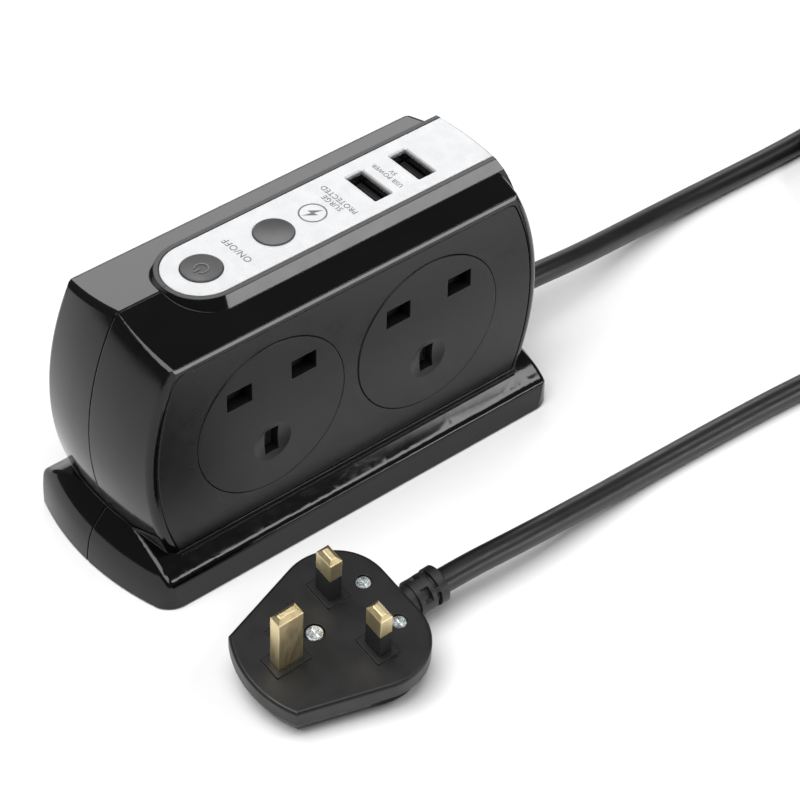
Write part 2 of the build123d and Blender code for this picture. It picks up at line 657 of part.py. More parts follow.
with BuildPart() as usb_tongues:
    foot = USB_SHELL_Z[0] + USB_WALL
    with Locations(*[(x + 1.0, 0, foot) for x in USB_X]):
        Box(1.8, 11.4, 10.3, align=(Align.CENTER, Align.CENTER, Align.MIN))
    with Locations(*[(x, 0, foot) for x in USB_X]):
        Box(4.7, 12.1, 3, align=(Align.CENTER, Align.CENTER, Align.MIN))
save(usb_tongues.part, "usb_tongues")

with BuildPart() as usb_contacts:
    for x in USB_X:
        with Locations(*[(x + 0.1, y, USB_SHELL_Z[0] + USB_WALL + 3) for y in (-3.5, -1, 1, 3.5)]):
            Box(0.25, 1.0, 6.6, align=(Align.MAX, Align.CENTER, Align.MIN))
save(usb_contacts.part, "usb_contacts")

# ---- leads and strain relief inside the block ---------------------------------------------------

with BuildPart() as cord_gland:  # tapered sleeve with three grip rings
    with BuildSketch(Plane.XZ):
        with BuildLine():
            Polyline(
                (GLAND_START, GLAND_Z + CORD_R + 0.05),
                (GLAND_START, GLAND_Z + GLAND_R),
                (GLAND_START + 8, GLAND_Z + GLAND_R),
                (GLAND_END, GLAND_Z + 4.7),
                (GLAND_END, GLAND_Z + CORD_R + 0.05),
                close=True,
            )
        make_face()
        with Locations(*[(GLAND_END - 2.4 - 2.6 * n, GLAND_Z + 5.9) for n in range(4)]):
            Rectangle(1.1, 1.7, mode=Mode.SUBTRACT)
    revolve(axis=Axis((0, 0, GLAND_Z), (1, 0, 0)))
save(cord_gland.part, "cord_gland")

with BuildPart() as cord_clamp:
    with Locations((CLAMP_X, 0, 13.8)):
        Box(4.6, 19, 10.4, align=(Align.CENTER, Align.CENTER, Align.MIN))
    with Locations((CLAMP_X, 0, GLAND_Z)):
        Cylinder(CORD_R + 0.02, 10, rotation=(0, 90, 0), mode=Mode.SUBTRACT)
    with Locations(*[(*spot, GLAND_Z) for spot in CLAMP_SPOTS]):
        Cylinder(SCREW_R + 0.2, 20, mode=Mode.SUBTRACT)
save(cord_clamp.part, "cord_clamp")

with BuildPart() as clamp_screws:
    with Locations(*[(*spot, 24.2) for spot in CLAMP_SPOTS]):
        Cylinder(2.3, 1.6, align=(Align.CENTER, Align.CENTER, Align.MIN))
        Cylinder(SCREW_R, 15, align=(Align.CENTER, Align.CENTER, Align.MAX))
save(clamp_screws.part, "clamp_screws")


def wire(name, points, radius, bend):
    """Round wire along straight runs joined by arcs."""
    with BuildPart() as strand:
        with BuildLine() as path:
            FilletPolyline(*points, radius=bend)
        with BuildSketch(Plane(origin=path.line @ 0, z_dir=path.line % 0)):
            Circle(radius)
        sweep()
    save(strand.part, name)


for name, y, z in (("live_lead", -2.4, 49.0), ("neutral_lead", 2.4, 65.6), ("earth_lead", 0.0, 36.15)):
    core_y = 0.6 * y
    core_z = GLAND_Z + (1.6 if y == 0 else -1.2)
    route = [
        (TAIL_START, core_y, core_z),
        (RISER_X - 0.4, core_y, core_z),
        (RISER_X, y, 27),
        (RISER_X, y, z - 6),
        (RISER_X - 0.2, 0, z),
        (BAR_ENDS[1], 0, z),
    ]
    wire(name, route, LEAD_R, 1.25)

# ---- plug -------------------------------------------------------------------------------------------

yaw, rise, lean = PLUG_TURN
plug_place = Pos(*PLUG_AT) * Rotation(lean, -rise, yaw, ordering=Extrinsic.XYZ)
pole_spots = [(PIN_PITCH, side * PIN_PITCH / 2) for side in (-1, 1)]


def save_on_plug(part, name):
    """Writes a piece drawn with the pin face at z 0 and the cord towards +X, laid where the plug lies."""
    save(plug_place * part, name)


def plug_outline(height, inset):
    """Outline of the plug's body, seen from its pins, at a height above the pin face."""
    near_x, near_y = PLUG_NARROW[0] + inset, PLUG_NARROW[1] - inset
    far_x, far_y = PLUG_END - inset, PLUG_FLARE - 1.4 * inset
    with BuildSketch(Plane.XY.offset(height)) as outline:
        with BuildLine():
            Polyline((near_x, near_y), (far_x, far_y), (far_x, -far_y), (near_x, -near_y))
            ThreePointArc((near_x, -near_y), (PLUG_NOSE + inset, 0), (near_x, near_y))
        face = make_face()
        fillet(face.vertices().group_by(Axis.X)[-1], PLUG_ROUND - inset)
    return outline.sketch


def cover_form(inset, lift):
    """The cover's tapering body, cut off at its sloping back."""
    with BuildPart() as form:
        extrude(plug_outline(-PLUG_BASE, inset), amount=-20, taper=PLUG_TAPER)
        back = Pos(PLUG_NOSE, 0, lift - PLUG_BACK) * Rotation(0, rise, 0)
        split(bisect_by=Plane(back), keep=Keep.TOP)
    return form.part


with BuildPart() as plug_base:
    extrude(plug_outline(0, 0), amount=-PLUG_BASE)
    fillet(plug_base.faces().sort_by(Axis.Z)[-1].edges(), 1.0)
    with Locations((0, 0, -0.2)):
        Box(EARTH_PIN[0] + 3.6, EARTH_PIN[1] + 3.6, 0.9, align=(Align.CENTER, Align.CENTER, Align.MIN))
    with Locations(*[(*spot, -0.2) for spot in pole_spots]):
        Box(POLE_PIN[0] + 3.6, POLE_PIN[1] + 3.6, 0.9, align=(Align.CENTER, Align.CENTER, Align.MIN))
    extrude(plug_outline(-PLUG_BASE, PLUG_WALL), amount=PLUG_BASE - PLUG_WALL, mode=Mode.SUBTRACT)
    with Locations((0, 0, -PLUG_WALL)):
        Box(EARTH_PIN[0] + 3, EARTH_PIN[1] + 3, 3, align=(Align.CENTER, Align.CENTER, Align.MAX))
    with Locations(*[(*spot, -PLUG_WALL) for spot in pole_spots]):
        Box(POLE_PIN[0] + 3, POLE_PIN[1] + 3, 1.0, align=(Align.CENTER, Align.CENTER, Align.MAX))
    with Locations((*COVER_SCREW, -PLUG_BASE)):
        Cylinder(3.2, 4, align=(Align.CENTER, Align.CENTER, Align.MIN))
    with Locations((*COVER_SCREW, 0)):
        Cylinder(2.9, 3.2, mode=Mode.SUBTRACT)
        Cylinder(SCREW_R + 0.2, 20, mode=Mode.SUBTRACT)
    with Locations(*[(*spot, 0) for spot in GRIP_SCREWS]):
        Cylinder(2.3, 10, mode=Mode.SUBTRACT)
    Box(EARTH_PIN[0], EARTH_PIN[1], 30, mode=Mode.SUBTRACT)
    with Locations(*pole_spots):
        Box(POLE_PIN[0], POLE_PIN[1], 30, mode=Mode.SUBTRACT)
    with Locations((PLUG_END, 0, PLUG_CORD_W)):
        Cylinder(BOOT_R + 0.05, 12, rotation=(0, 90, 0), mode=Mode.SUBTRACT)
save_on_plug(plug_base.part, "plug_base")

with BuildPart() as plug_cover:
    add(cover_form(0, 0))
    fillet(plug_cover.faces().sort_by(Axis.Z)[0].edges(), 1.6)
    add(cover_form(PLUG_WALL, 1.8), mode=Mode.SUBTRACT)
    with Locations((*COVER_SCREW, -PLUG_BASE)):
        Cylinder(3.2, 6, align=(Align.CENTER, Align.CENTER, Align.MAX))
        Cylinder(SCREW_R, 7, mode=Mode.SUBTRACT)
    with Locations(*[(*spot, -PLUG_BASE) for spot in GRIP_SCREWS]):
        Cylinder(2.5, 7.4, align=(Align.CENTER, Align.CENTER, Align.MAX))
        Cylinder(SCREW_R, 9, mode=Mode.SUBTRACT)
    with Locations(*[(24, side * 25.5, -10.4) for side in (-1, 1)]):
        Cylinder(5.4, 60, rotation=(0, 90, 0), mode=Mode.SUBTRACT)
    with Locations((PLUG_END, 0, PLUG_CORD_W)):
        Cylinder(BOOT_R + 0.05, 12, rotation=(0, 90, 0), mode=Mode.SUBTRACT)
save_on_plug(plug_cover.part, "plug_cover")

with BuildPart() as earth_pin:
    with Locations((0, 0, -5)):
        Box(EARTH_PIN[0], EARTH_PIN[1], EARTH_PIN[2] + 5, align=(Align.CENTER, Align.CENTER, Align.MIN))
    chamfer(earth_pin.faces().sort_by(Axis.Z)[-1].edges(), 1.3)
save_on_plug(earth_pin.part, "earth_pin")

core_size = (POLE_PIN[0] - 2 * CORE_NECK, POLE_PIN[1] - 2 * CORE_NECK)
for name, spot in zip(("live_pin", "neutral_pin"), pole_spots):
    with BuildPart() as pole_pin:
        with Locations((*spot, SLEEVE_TOP)):
            Box(*POLE_PIN[:2], POLE_PIN[2] - SLEEVE_TOP, align=(Align.CENTER, Align.CENTER, Align.MIN))
        chamfer(pole_pin.faces().sort_by(Axis.Z)[-1].edges(), 1.2)
        with Locations((*spot, SLEEVE_TOP)):
            Box(*core_size, SLEEVE_TOP + 4, align=(Align.CENTER, Align.CENTER, Align.MAX))
    save_on_plug(pole_pin.part, name)

with BuildPart() as pin_sleeves:
    with Locations(*[(*spot, SLEEVE_TOP) for spot in pole_spots]):
        Box(*POLE_PIN[:2], SLEEVE_TOP + 3.2, align=(Align.CENTER, Align.CENTER, Align.MAX))
        Box(*core_size, 40, mode=Mode.SUBTRACT)
save_on_plug(pin_sleeves.part, "pin_sleeves")

with BuildPart() as plug_fuse:
    with Locations(Location(FUSE_AT, (0, 90, 0))):
        Cylinder(2.9, FUSE_LENGTH - 2 * FUSE_CAP)
save_on_plug(plug_fuse.part, "plug_fuse")

with BuildPart() as fuse_caps:
    cap_shift = (FUSE_LENGTH - FUSE_CAP) / 2
    for dx in (-cap_shift, cap_shift):
        with Locations(Location((FUSE_AT[0] + dx, *FUSE_AT[1:]), (0, 90, 0))):
            Cylinder(3.1, FUSE_CAP)
save_on_plug(fuse_caps.part, "fuse_caps")

with BuildPart() as plug_cover_screw:
    with Locations((*COVER_SCREW, -1.5)):
        Cylinder(2.7, 1.4, align=(Align.CENTER, Align.CENTER, Align.MIN))
        Cylinder(SCREW_R, 7, align=(Align.CENTER, Align.CENTER, Align.MAX))
    chamfer(plug_cover_screw.faces().sort_by(Axis.Z)[-1].edges(), 0.4)
    with Locations((*COVER_SCREW, -0.1)):
        Box(3.6, 0.7, 1.2, mode=Mode.SUBTRACT)
        Box(0.7, 3.6, 1.2, mode=Mode.SUBTRACT)
save_on_plug(plug_cover_screw.part, "plug_cover_screw")

with BuildPart() as plug_grip_screws:
    with Locations(*[(*spot, -2.1) for spot in GRIP_SCREWS]):
        Cylinder(2.1, 1.5, align=(Align.CENTER, Align.CENTER, Align.MIN))
        Cylinder(SCREW_R, 7.6, align=(Align.CENTER, Align.CENTER, Align.MAX))
    with Locations(*[(*spot, -0.6) for spot in GRIP_SCREWS]):
        Box(2.9, 0.6, 1.0, mode=Mode.SUBTRACT)
        Box(0.6, 2.9, 1.0, mode=Mode.SUBTRACT)
save_on_plug(plug_grip_screws.part, "plug_grip_screws")

with BuildPart() as plug_cord_grip:
    with Locations((GRIP_SCREWS[0][0], 0, -PLUG_WALL - 0.05)):
        Box(5, 21, 2.4, align=(Align.CENTER, Align.CENTER, Align.MAX))
    with Locations(*GRIP_SCREWS):
        Cylinder(SCREW_R + 0.1, 20, mode=Mode.SUBTRACT)
save_on_plug(plug_cord_grip.part, "plug_cord_grip")

with BuildPart() as plug_boot:
    boot_start = PLUG_END - 2.4
    boot_length = BOOT_RING[1] - boot_start
    with Locations(Location((boot_start, 0, PLUG_CORD_W), (0, 90, 0))):
        Cylinder(BOOT_R, boot_length, align=(Align.CENTER, Align.CENTER, Align.MIN))
    with Locations(Location((BOOT_RING[0], 0, PLUG_CORD_W), (0, 90, 0))):
        Cylinder(BOOT_R + 0.6, BOOT_RING[1] - BOOT_RING[0], align=(Align.CENTER, Align.CENTER, Align.MIN))
    with Locations(*[(x, 0, PLUG_CORD_W) for x in (41.6, 45.8)]):
        Box(1.6, 8, 20, mode=Mode.SUBTRACT)
        Box(1.6, 20, 8, mode=Mode.SUBTRACT)
    with Locations(Location((boot_start, 0, PLUG_CORD_W), (0, 90, 0))):
        Cylinder(CORD_R + 0.8, boot_length, align=(Align.CENTER, Align.CENTER, Align.MIN))
        Cylinder(CORD_R + 0.05, 60, mode=Mode.SUBTRACT)
save_on_plug(plug_boot.part, "plug_boot")

# ---- cord ---------------------------------------------------------------------------------------------

block_route = [
    (TAIL_START, 0, GLAND_Z),
    (84, 0, GLAND_Z),
    (108, 1.4, 15.2),
    (131, 5.7, 9.8),
    (154, 9.3, 5.4),
    (178, 10.2, FLOOR_Z),
    (206, 9.5, FLOOR_Z),
    (233, 10.3, FLOOR_Z),
]
plug_exit = [plug_place * Pos(u, 0, PLUG_CORD_W) for u in (30.5, 56)]
plug_route = [
    *[tuple(place.position) for place in plug_exit],
    (19, -77.9, 10.8),
    (44, -76.0, 7.0),
    (70, -74.1, FLOOR_Z),
    (98, -74.7, FLOOR_Z),
    (126, -75.8, FLOOR_Z),
    (153, -78.2, FLOOR_Z),
    (180, -82.0, 4.8),
    (206, -86.6, 8.2),
    (230, -88.6, TOP_LAYER_Z),
]


def cord_radii(points):
    """Largest arc at each corner that its two runs leave room for."""
    radii = []
    for before, corner, after in zip(points, points[1:], points[2:]):
        run_in = Vector(*corner) - Vector(*before)
        run_out = Vector(*after) - Vector(*corner)
        half_turn = radians(run_in.get_angle(run_out)) / 2
        radii.append(0.45 * min(run_in.length, run_out.length) / tan(half_turn))
    return radii


for name, route in (("cord_block_run", block_route), ("cord_plug_run", plug_route)):
    radii = cord_radii(route)
    print(name, "radii", [round(radius) for radius in radii])
    wire(name, route, CORD_R, radii)

with BuildPart() as cord_coil:
    with BuildSketch(Plane.XZ) as section:
        width = COIL_OUTER - COIL_INNER
        with Locations((COIL_INNER + width / 2, COIL_HEIGHT / 2)):
            RectangleRounded(width, COIL_HEIGHT, 3.5)
    revolve(axis=Axis.Z)
cord_coil.part.position += (*COIL_CENTRE, 0)
save(cord_coil.part, "cord_coil")
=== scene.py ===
import json
from math import cos, pi, radians, sin

import bmesh
import bpy
from mathutils import Matrix, Vector


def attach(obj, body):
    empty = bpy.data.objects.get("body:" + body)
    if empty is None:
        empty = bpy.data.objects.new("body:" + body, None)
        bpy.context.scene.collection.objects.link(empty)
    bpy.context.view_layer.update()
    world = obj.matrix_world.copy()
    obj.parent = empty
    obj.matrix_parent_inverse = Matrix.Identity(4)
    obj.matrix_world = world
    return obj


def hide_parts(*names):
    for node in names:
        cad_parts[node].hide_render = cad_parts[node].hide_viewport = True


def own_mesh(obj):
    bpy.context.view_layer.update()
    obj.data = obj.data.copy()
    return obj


# Looks for a two-sided power block with its mains lead and fused plug. Everything is in metres, in
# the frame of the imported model: +X along the block towards the cord, -Y its front, +Z up.

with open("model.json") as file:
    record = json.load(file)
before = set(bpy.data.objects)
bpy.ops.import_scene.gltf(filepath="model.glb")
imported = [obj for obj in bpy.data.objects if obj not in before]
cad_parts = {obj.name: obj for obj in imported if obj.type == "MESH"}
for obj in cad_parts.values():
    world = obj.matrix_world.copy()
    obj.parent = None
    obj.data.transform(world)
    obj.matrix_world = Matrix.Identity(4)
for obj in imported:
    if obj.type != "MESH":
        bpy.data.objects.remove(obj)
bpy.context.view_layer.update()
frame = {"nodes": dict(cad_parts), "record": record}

MM = 0.001
nodes = frame["nodes"]
node_slots = {part["node"]: part["material_slot"] for part in frame["record"]["subparts"]}
scene = bpy.context.scene

# ---- camera ------------------------------------------------------------------------------------

CAMERA_AT = Vector((-0.4171, -0.5393, 0.6321))
CAMERA_TARGET = Vector((0.0142, -0.0288, 0.0308))
CAMERA_ROLL = radians(0.99)
CAMERA_LENS = 142.55

camera_data = bpy.data.cameras.new("camera")
camera_data.lens = CAMERA_LENS
camera_data.sensor_width = 36
camera_data.clip_start = 0.01
camera = bpy.data.objects.new("camera", camera_data)
scene.collection.objects.link(camera)
facing = (CAMERA_TARGET - CAMERA_AT).to_track_quat("-Z", "Y").to_matrix().to_4x4()
camera.matrix_world = (
    Matrix.Translation(CAMERA_AT) @ facing @ Matrix.Rotation(CAMERA_ROLL, 4, "Z")
)
scene.camera = camera
scene.view_settings.view_transform = "Standard"

# ---- shader building blocks --------------------------------------------------------------------


def grey(value):
    return (value, value, value)


class Look:
    """One node material: a Principled shader whose inputs are filled in step by step."""

    def __init__(self, name, **constants):
        self.material = bpy.data.materials.new(name)
        self.material.use_nodes = True
        self.tree = self.material.node_tree
        self.shader = self.tree.nodes["Principled BSDF"]
        for socket, value in constants.items():
            self.shader.inputs[socket.replace("_", " ")].default_value = value

    def node(self, kind, **settings):
        made = self.tree.nodes.new("ShaderNode" + kind)
        for setting, value in settings.items():
            setattr(made, setting, value)
        return made

    def link(self, source, target):
        self.tree.links.new(source, target)

    def place(self, stretch=(1, 1, 1)):
        """The object's own coordinates in metres, scaled along each axis."""
        coordinates = self.node("TexCoord")
        mapping = self.node("Mapping")
        mapping.inputs["Scale"].default_value = stretch
        self.link(coordinates.outputs["Object"], mapping.inputs["Vector"])
        return mapping.outputs["Vector"]

    def noise(self, per_metre, detail=3.0, stretch=(1, 1, 1)):
        texture = self.node("TexNoise")
        texture.inputs["Scale"].default_value = per_metre
        texture.inputs["Detail"].default_value = detail
        self.link(self.place(stretch), texture.inputs["Vector"])
        return texture.outputs["Fac"]

    def cells(self, per_metre):
        texture = self.node("TexVoronoi")
        texture.inputs["Scale"].default_value = per_metre
        self.link(self.place(), texture.inputs["Vector"])
        return texture.outputs["Distance"]

    def remap(self, value, low, high, start=0.3, end=0.7):
        node = self.node("MapRange")
        node.inputs["From Min"].default_value = start
        node.inputs["From Max"].default_value = end
        node.inputs["To Min"].default_value = low
        node.inputs["To Max"].default_value = high
        self.link(value, node.inputs["Value"])
        return node.outputs["Result"]

    def colour(self, value, low, high, start=0.3, end=0.7):
        """Base colour that runs from low to high with a texture's value."""
        ramp = self.node("ValToRGB")
        ramp.color_ramp.elements[0].position = start
        ramp.color_ramp.elements[0].color = (*low, 1)
        ramp.color_ramp.elements[1].position = end
        ramp.color_ramp.elements[1].color = (*high, 1)
        self.link(value, ramp.inputs["Fac"])
        self.link(ramp.outputs["Color"], self.shader.inputs["Base Color"])

    def roughness(self, value, low, high, start=0.3, end=0.7):
        self.link(self.remap(value, low, high, start, end), self.shader.inputs["Roughness"])

    def surface(self, edge, *reliefs):
        """Rounds the edges to that radius, then adds each (texture value, height in metres)."""
        rounded = self.node("Bevel", samples=6)
        rounded.inputs["Radius"].default_value = edge
        normal = rounded.outputs["Normal"]
        for value, height in reliefs:
            bump = self.node("Bump")
            bump.inputs["Strength"].default_value = 1.0
            bump.inputs["Distance"].default_value = height
            self.link(value, bump.inputs["Height"])
            self.link(normal, bump.inputs["Normal"])
            normal = bump.outputs["Normal"]
        self.link(normal, self.shader.inputs["Normal"])


def gloss_plastic(name, low, high, rough=(0.07, 0.13), edge=0.0003):
    """Polished moulding: a faint orange peel and a haze of fine handling marks."""
    look = Look(name, IOR=1.41)
    look.colour(look.noise(45), low, high)
    look.roughness(look.noise(240, 6), *rough)
    look.surface(edge, (look.noise(380, 2), 0.000004), (look.noise(5200, 2), 0.0000012))
    return look.material


def satin_plastic(name, low, high, rough=(0.38, 0.5), grain=0.000012, edge=0.0003):
    """Spark-eroded moulding: an even fine grain with slightly smoother patches."""
    look = Look(name, IOR=1.4)
    look.colour(look.noise(70), low, high)
    look.roughness(look.noise(160, 5), *rough)
    look.surface(edge, (look.noise(2600, 4), grain), (look.noise(500, 2), grain / 2))
    return look.material


def rubber(name, low, high, rough=(0.42, 0.6), stretch=(1, 1, 1)):
    """Soft PVC or rubber: matt, with a slight drawn-out waviness and dusty patches."""
    look = Look(name, IOR=1.5)
    look.colour(look.noise(90, 5), low, high)
    look.roughness(look.noise(300, 4, stretch), *rough)
    look.surface(
        0.0003, (look.noise(700, 3, stretch), 0.00002), (look.noise(4000, 3), 0.000006)
    )
    return look.material


def metal(
    name, low, high, rough=(0.2, 0.36), stretch=(1, 1, 1), relief=0.000006, edge=0.00012
):
    """Bare or plated metal: drawn streaks, small stains, and rounded edges that catch light."""
    look = Look(name, Metallic=1.0)
    look.colour(look.noise(420, 6, stretch), low, high)
    look.roughness(look.noise(900, 5, stretch), *rough)
    look.surface(edge, (look.noise(1800, 4, stretch), relief))
    return look.material


def silver_paint(name):
    """Pale silver paint: metal flakes under a satin lacquer."""
    look = Look(name, Metallic=0.35, IOR=1.5, Coat_Weight=0.25, Coat_Roughness=0.25)
    look.colour(look.cells(3800), (0.46, 0.465, 0.475), (0.58, 0.585, 0.59), 0.1, 0.8)
    look.roughness(look.noise(300, 5), 0.36, 0.46)
    look.surface(0.0004, (look.noise(3400, 3), 0.000004))
    return look.material


def neon_glass(name):
    """Clear glass with the warm tint of the neon inside it."""
    look = Look(name, Transmission_Weight=1.0, IOR=1.45)
    look.colour(look.noise(300), (0.95, 0.62, 0.42), (1.0, 0.78, 0.6))
    look.roughness(look.noise(500), 0.02, 0.08)
    look.surface(0.0002, (look.noise(600), 0.000005))
    return look.material


def two_tone(name, first, second, turns_per_metre):
    """Insulation with a stripe, as the protective earth core has."""
    look = Look(name, IOR=1.5)
    wave = look.node("TexWave", wave_type="BANDS", bands_direction="DIAGONAL")
    wave.inputs["Scale"].default_value = turns_per_metre
    look.link(look.place(), wave.inputs["Vector"])
    look.colour(wave.outputs["Fac"], first, second, 0.48, 0.52)
    look.roughness(look.noise(600), 0.25, 0.4)
    look.surface(0.0002, (look.noise(2500), 0.000005))
    return look.material


LOOKS = {
    "casing_gloss": gloss_plastic("casing_gloss", grey(0.0022), grey(0.0035)),
    "panel_satin": satin_plastic(
        "panel_satin", grey(0.0055), grey(0.0075), (0.26, 0.34), 0.000007
    ),
    "socket_satin": satin_plastic(
        "socket_satin", grey(0.0062), grey(0.0085), (0.28, 0.36), 0.000008
    ),
    "shutter_grey": satin_plastic("shutter_grey", grey(0.006), grey(0.009)),
    "silver_panel": silver_paint("silver_panel"),
    "button_grey": satin_plastic("button_grey", grey(0.055), grey(0.07), grain=0.000006),
    "lens_grey": satin_plastic(
        "lens_grey", grey(0.045), grey(0.06), (0.28, 0.36), 0.000005
    ),
    "carrier_white": satin_plastic("carrier_white", (0.62, 0.61, 0.56), (0.7, 0.69, 0.64)),
    "base_black": satin_plastic(
        "base_black", grey(0.01), grey(0.014), (0.5, 0.62), 0.00002
    ),
    "feet_rubber": rubber("feet_rubber", grey(0.016), grey(0.024)),
    "board_green": gloss_plastic(
        "board_green", (0.012, 0.11, 0.03), (0.02, 0.15, 0.05), (0.2, 0.3)
    ),
    "component_blue": gloss_plastic(
        "component_blue", (0.01, 0.06, 0.3), (0.02, 0.09, 0.4), (0.15, 0.3)
    ),
    "component_dark": gloss_plastic(
        "component_dark", (0.01, 0.01, 0.02), (0.02, 0.02, 0.04), (0.2, 0.3)
    ),
    "transformer_yellow": satin_plastic(
        "transformer_yellow", (0.5, 0.36, 0.03), (0.62, 0.46, 0.05)
    ),
    "lamp_glass": neon_glass("lamp_glass"),
    "zinc_steel": metal(
        "zinc_steel", (0.5, 0.55, 0.56), (0.86, 0.9, 0.9), (0.16, 0.42), relief=0.00003
    ),
    "spring_steel": metal("spring_steel", grey(0.42), grey(0.6)),
    # USB shells: the steel is coloured dark grey as painted shade for the dark inside of the
    # ports, not as the steel's own colour
    "usb_steel": metal("usb_steel", grey(0.16), grey(0.24), (0.2, 0.32), (1, 1, 0.2)),
    "usb_insulator": satin_plastic("usb_insulator", grey(0.006), grey(0.01)),
    "gold_contacts": metal("gold_contacts", (0.8, 0.55, 0.2), (0.95, 0.7, 0.3)),
    "brass_bar": metal("brass_bar", (0.55, 0.38, 0.13), (0.72, 0.52, 0.2), (0.25, 0.42)),
    "pin_brass": metal(
        "pin_brass", (0.84, 0.68, 0.38), (0.93, 0.79, 0.48), (0.3, 0.4), (1, 1, 0.25),
        0.0000015, 0.0004,
    ),
    "sleeve_grey": satin_plastic("sleeve_grey", grey(0.014), grey(0.02), (0.4, 0.5)),
    "cord_black": rubber("cord_black", grey(0.004), grey(0.007), (0.34, 0.44)),
    "boot_black": rubber("boot_black", grey(0.006), grey(0.01)),
    "plug_black": satin_plastic(
        "plug_black", grey(0.006), grey(0.0095), (0.34, 0.46), 0.000016, 0.0004
    ),
    "clamp_white": satin_plastic("clamp_white", (0.58, 0.57, 0.53), (0.66, 0.65, 0.6)),
    "lead_brown": gloss_plastic(
        "lead_brown", (0.12, 0.04, 0.012), (0.16, 0.055, 0.018), (0.25, 0.35)
    ),
    "lead_blue": gloss_plastic(
        "lead_blue", (0.015, 0.06, 0.32), (0.02, 0.09, 0.42), (0.25, 0.35)
    ),
    "lead_earth": two_tone("lead_earth", (0.03, 0.25, 0.03), (0.7, 0.62, 0.03), 60),
    "fuse_ceramic": satin_plastic(
        "fuse_ceramic", (0.7, 0.66, 0.56), (0.78, 0.74, 0.64), (0.25, 0.35)
    ),
    "cap_metal": metal("cap_metal", grey(0.6), grey(0.75), (0.12, 0.25)),
}
for name, node in nodes.items():
    node.data.materials.clear()
    node.data.materials.append(LOOKS[node_slots[name]])

# ---- mesh building blocks ----------------------------------------------------------------------


def add_piece(name, mesh, body, slot, look=None):
    """Puts a mesh or curve in the scene with its material, riding on a body."""
    piece = bpy.data.objects.new(name, mesh)
    scene.collection.objects.link(piece)
    mesh.materials.append(look or LOOKS[slot])
    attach(piece, body)
    return piece


def finished(build, name):
    """Blender mesh of the work mesh, with its faces looking outwards."""
    bmesh.ops.recalc_face_normals(build, faces=build.faces)
    mesh = bpy.data.meshes.new(name)
    build.to_mesh(mesh)
    build.free()
    return mesh


def looped(name, sections):
    """Mesh through closed sections that follow each other round a loop."""
    build = bmesh.new()
    rings = [[build.verts.new(spot) for spot in section] for section in sections]
    for n, ring in enumerate(rings):
        following = rings[(n + 1) % len(rings)]
        for k in range(len(ring)):
            j = (k + 1) % len(ring)
            build.faces.new((ring[k], following[k], following[j], ring[j]))
    return finished(build, name)


def stacked(name, sections):
    """Mesh through closed sections one above the other, with a face over each end."""
    build = bmesh.new()
    rings = [[build.verts.new(spot) for spot in section] for section in sections]
    for ring, following in zip(rings, rings[1:]):
        for k in range(len(ring)):
            j = (k + 1) % len(ring)
            build.faces.new((ring[k], ring[j], following[j], following[k]))
    build.faces.new(rings[-1])
    build.faces.new(rings[0][::-1])
    return finished(build, name)


def turned(name, profile, start, direction, steps=64):
    """Smooth mesh of a closed profile of (distance along, radius) turned round an axis."""
    angles = [2 * pi * n / steps for n in range(steps)]
    mesh = looped(
        name, [[(r * cos(a), r * sin(a), along) for along, r in profile] for a in angles]
    )
    turn = Vector(direction).to_track_quat("Z", "Y").to_matrix().to_4x4()
    mesh.transform(Matrix.Translation(Vector(start)) @ turn)
    mesh.polygons.foreach_set("use_smooth", [True] * len(mesh.polygons))
    return mesh


def prism(name, outline, height):
    """Upright solid on z 0 with that outline."""
    return stacked(name, [[(x, y, z) for x, y in outline] for z in (0, height)])


def band_between(name, inner, outer, height, closed=True):
    """Flat band on z 0 between two outlines with the same number of points."""
    build = bmesh.new()
    rows = []
    for outline, z in ((inner, 0), (inner, height), (outer, height), (outer, 0)):
        rows.append([build.verts.new((x, y, z)) for x, y in outline])
    count = len(inner)
    for k, row in enumerate(rows):
        following = rows[(k + 1) % len(rows)]
        for n in range(count if closed else count - 1):
            j = (n + 1) % count
            build.faces.new((row[n], row[j], following[j], following[n]))
    if not closed:
        for n in (0, count - 1):
            build.faces.new([row[n] for row in rows])
    return finished(build, name)


def arc_outline(radius, start=0.0, sweep=360.0, steps=48):
    """Points on a circle or, for a smaller sweep, on an arc."""
    count = steps if sweep >= 360 else steps + 1
    angles = [radians(start + sweep * n / steps) for n in range(count)]
    return [(radius * cos(angle), radius * sin(angle)) for angle in angles]


# ---- mains cord --------------------------------------------------------------------------------

CORD_R = 3.7 * MM
FLOOR_Z = 3.72 * MM
TOP_LAYER_Z = 11.12 * MM

BLOCK_ROUTE = [
    (58.6, 0, 19),
    (84, 0, 19),
    (108, 1.4, 15.2),
    (131, 5.7, 9.8),
    (154, 9.3, 5.4),
    (178, 10.2, 3.72),
    (206, 9.5, 3.72),
    (233, 10.3, 3.72),
]
PLUG_ROUTE = [
    (19, -77.9, 10.8),
    (44, -76.0, 7.0),
    (70, -74.1, 3.72),
    (98, -74.7, 3.72),
    (126, -75.8, 3.72),
    (153, -78.2, 3.72),
    (180, -82.0, 4.8),
    (206, -86.6, 8.2),
    (230, -88.6, 11.1),
]
PLUG_AT = Vector((-63.7, -75.9, 14.46)) * MM  # root of the earth pin on the plug's face
PLUG_TURN = (-2.2, 5.4, 9.0)  # yaw, rise towards the cord, lean to the front, in degrees
PLUG_CORD_W = -8.4 * MM  # the cord's axis, below the face

COIL_CENTRE = Vector((248, -39, 0)) * MM
COIL_TURNS = 5.5
COIL_STEPS = 24  # control points in a turn
OUTER_TURN_R = 49.9 * MM
TURN_PITCH = 7.4 * MM
# Where the cord moves to its next ring or layer, in degrees wound from the coil's rear
INWARD_MOVES = ((215, 355), (575, 715))
CLIMB = (880, 990)
OUTWARD_MOVES = ((1150, 1290), (1510, 1650))

